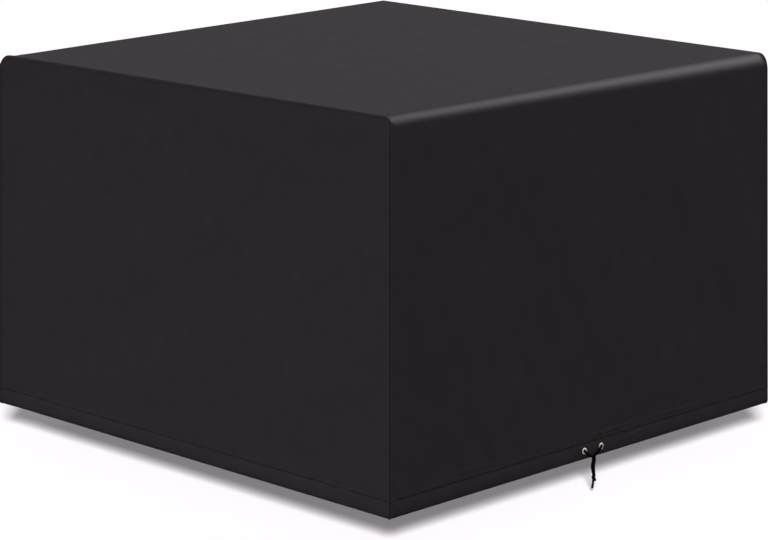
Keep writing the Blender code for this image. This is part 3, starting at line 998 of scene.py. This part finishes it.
def cloth_material():
    material, nodes = new_material("charcoal_oxford", CLOTH_COLOUR, CLOTH_ROUGHNESS, specular=CLOTH_SPECULAR)
    calc = nodes.math
    uv = nodes.add("ShaderNodeUVMap", uv_map="cloth").outputs["UV"]
    split = nodes.add("ShaderNodeSeparateXYZ")
    nodes.link(uv, split.inputs[0])
    u, v = split.outputs[:2]

    # Threads that pass over and under each other
    across, along = calc("DIVIDE", u, THREAD), calc("DIVIDE", v, THREAD)
    column, row = calc("FLOOR", across), calc("FLOOR", along)
    odd = calc("PINGPONG", calc("ADD", column, row), 1.0)
    warp = calc("ABSOLUTE", calc("SINE", calc("MULTIPLY", across, math.pi)))
    weft = calc("ABSOLUTE", calc("SINE", calc("MULTIPLY", along, math.pi)))
    warp_up = calc("MULTIPLY", warp, calc("MULTIPLY_ADD", odd, 0.6, 0.4))
    weft_up = calc("MULTIPLY", weft, calc("MULTIPLY_ADD", odd, -0.6, 1.0))
    weave = calc("MAXIMUM", warp_up, weft_up)

    # A fine twill that shows from further off, stronger in some places than in others
    diagonal = math.pi * 2.0 / DIAGONAL_PITCH
    rising = calc("SINE", calc("MULTIPLY", calc("ADD", u, v), diagonal))
    falling = calc("SINE", calc("MULTIPLY", calc("SUBTRACT", u, v), diagonal))
    twill = calc("MULTIPLY", rising, falling)
    patches = nodes.noise(uv, 9.0, 2.0)
    mask = nodes.add("ShaderNodeMapRange")
    mask.inputs["From Min"].default_value = 0.42
    mask.inputs["From Max"].default_value = 0.68
    nodes.link(patches, mask.inputs["Value"])
    twill = calc("MULTIPLY", twill, mask.outputs[0])

    # Threads that are a little thicker or paler here and there, and soft blotches
    slub_warp = nodes.noise(nodes.stretched(uv, (1.0, 0.05, 1.0)), 700.0, 2.0)
    slub_weft = nodes.noise(nodes.stretched(uv, (0.05, 1.0, 1.0)), 700.0, 2.0)
    blotches = nodes.noise(uv, 32.0, 3.0, 0.55)
    tone = calc("MULTIPLY_ADD", twill, DIAGONAL_STRENGTH, 1.0)
    for source, strength in ((slub_warp, 0.16), (slub_weft, 0.16), (blotches, 2.0 * MOTTLE_STRENGTH)):
        tone = calc("ADD", tone, calc("MULTIPLY", calc("SUBTRACT", source, 0.5), strength))
    tone = calc("MULTIPLY", tone, calc("MULTIPLY_ADD", weave, 0.30, 0.78))
    tint = nodes.add("ShaderNodeVectorMath", operation="SCALE")
    tint.inputs[0].default_value = CLOTH_COLOUR
    nodes.link(tone, tint.inputs["Scale"])
    nodes.feed(tint.outputs[0], "Base Color")

    fine = nodes.bump(weave, 0.00012, 0.55)
    soft = nodes.bump(nodes.noise(uv, 60.0, 3.0, 0.5), 0.0008, 0.22, fine)
    nodes.feed(soft, "Normal")
    return material


def thread_material():
    material, nodes = new_material("hem_thread", (0.0045, 0.0039, 0.0045), 0.7, specular=0.02)
    twist = nodes.noise(nodes.place(), 2600.0, 1.0)
    nodes.feed(nodes.bump(twist, 0.0001, 0.5), "Normal")
    return material


def brass_material():
    material, nodes = new_material("pale_brass", (0.33, 0.30, 0.24), 0.60, metallic=0.25)
    place = nodes.place()
    tarnish = nodes.noise(place, 260.0, 3.0, 0.6)
    tone = nodes.ramp(tarnish, (0.30, (0.28, 0.24, 0.185)), (0.72, (0.37, 0.34, 0.285)))
    nodes.feed(tone, "Base Color")
    nodes.feed(nodes.math("MULTIPLY_ADD", tarnish, 0.18, 0.48), "Roughness")
    nodes.feed(nodes.bump(nodes.noise(place, 900.0, 2.0), 0.00005, 0.3), "Normal")
    return material


def cord_material():
    material, nodes = new_material("black_cord", (0.0018, 0.0015, 0.0018), 0.85, specular=0.0)
    fibres = nodes.noise(nodes.place(), 3000.0, 2.0)
    tone = nodes.ramp(fibres, (0.0, (0.0008, 0.0006, 0.0008)), (1.0, (0.0030, 0.0025, 0.0030)))
    nodes.feed(tone, "Base Color")
    nodes.feed(nodes.bump(fibres, 0.0001, 0.6), "Normal")
    return material


# ---------------------------- floor and light

FLOOR_BELOW_HEM = 0.070
FLOOR_HALF = 60.0
FLOOR_COLOUR = (0.437, 0.416, 0.437)
WORLD_STRENGTH = 0.15
# Sun lamps: name, towards the lamp, spread in degrees, strength, what they light
LAMPS = (
    ("key", (0.212, 0.724, 0.656), 52.0, 6.4, "cover"),
    ("overhead", (0.0, 0.0, 1.0), 60.0, 2.5, "cover"),
    ("left_fill", (-0.62, -0.62, 0.42), 25.0, 8.0, "cover"),
    ("right_fill", (0.85, -0.25, 0.45), 70.0, 3.25, "cover"),
    ("floor_front", (0.618, -0.618, 0.486), 13.5, 11.4, "floor"),
    ("floor_fill", (0.0, 0.0, 1.0), 20.0, 1.58, "floor_plain"),
)


def build_floor():
    mesh = bpy.data.meshes.new("floor")
    z = HEM_Z - FLOOR_BELOW_HEM
    corners = [(x * FLOOR_HALF, y * FLOOR_HALF, z) for x, y in ((-1, -1), (1, -1), (1, 1), (-1, 1))]
    mesh.from_pydata(corners, [], [(0, 1, 2, 3)])
    mesh.materials.append(new_material("studio_floor", FLOOR_COLOUR, 0.9, specular=0.0)[0])
    floor = make_object("floor", mesh)
    floor.visible_diffuse = False  # a dark studio floor, shown pale, throws no light up on the cloth
    floor.visible_glossy = False
    return floor


def build_light(cover_pieces, floor):
    world = bpy.data.worlds.new("studio")
    bpy.context.scene.world = world
    world.use_nodes = True
    background = world.node_tree.nodes["Background"].inputs
    background["Color"].default_value = (1.0, 1.0, 1.0, 1.0)
    background["Strength"].default_value = WORLD_STRENGTH
    lit = {}
    for name, members in (("cover", cover_pieces), ("floor", [floor])):
        lit[name] = bpy.data.collections.new("lit_" + name)
        for member in members:
            lit[name].objects.link(member)
    for name, towards, spread, strength, target in LAMPS:
        data = bpy.data.lights.new(name, "SUN")
        data.angle = math.radians(spread)
        data.energy = strength
        lamp = make_object(name, data)
        lamp.rotation_euler = Vector(towards).to_track_quat("Z", "Y").to_euler()
        lamp.visible_glossy = name != "left_fill"  # low as it stands, it would glare on the top
        lamp.light_linking.receiver_collection = lit["cover" if target == "cover" else "floor"]
        if target == "floor_plain":
            lamp.light_linking.blocker_collection = lit["floor"]
    bpy.context.scene.view_settings.view_transform = "Standard"


# ---------------------------- all of it

def main():
    make_camera()
    cord, cloth, thread, brass = cord_material(), cloth_material(), thread_material(), brass_material()

    strands, lines = {}, {}
    for name in STRAND_ROUTE:
        strands[name], lines[name] = build_strand(name, cord)
    knot = build_knot(list(lines.values()), cord)

    strip, strip_length = build_strip(cloth)
    front = build_panel("cover_end_front", "front", cloth)
    back = build_panel("cover_end_back", "back", cloth)
    walls = {"strip": ("east", "west"), "front": ("front",), "back": ("back",)}
    stitches = {name: hem_stitches("hem_stitches_" + name, walls[name], thread) for name in walls}
    eyelets = {name: build_eyelet(name, brass) for name in EYELET_Y}

    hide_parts("strip_panel")
    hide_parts("end_panel_front")
    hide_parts("end_panel_back")
    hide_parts("tie_knot")
    for name in EYELET_Y:
        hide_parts("eyelet_" + name)
        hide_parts("tie_strand_" + name)
    pieces = [strip, front, back, knot, *stitches.values(), *eyelets.values(), *strands.values()]
    for piece in pieces:
        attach(piece, "root")

    floor = build_floor()
    build_light(pieces, floor)


main()
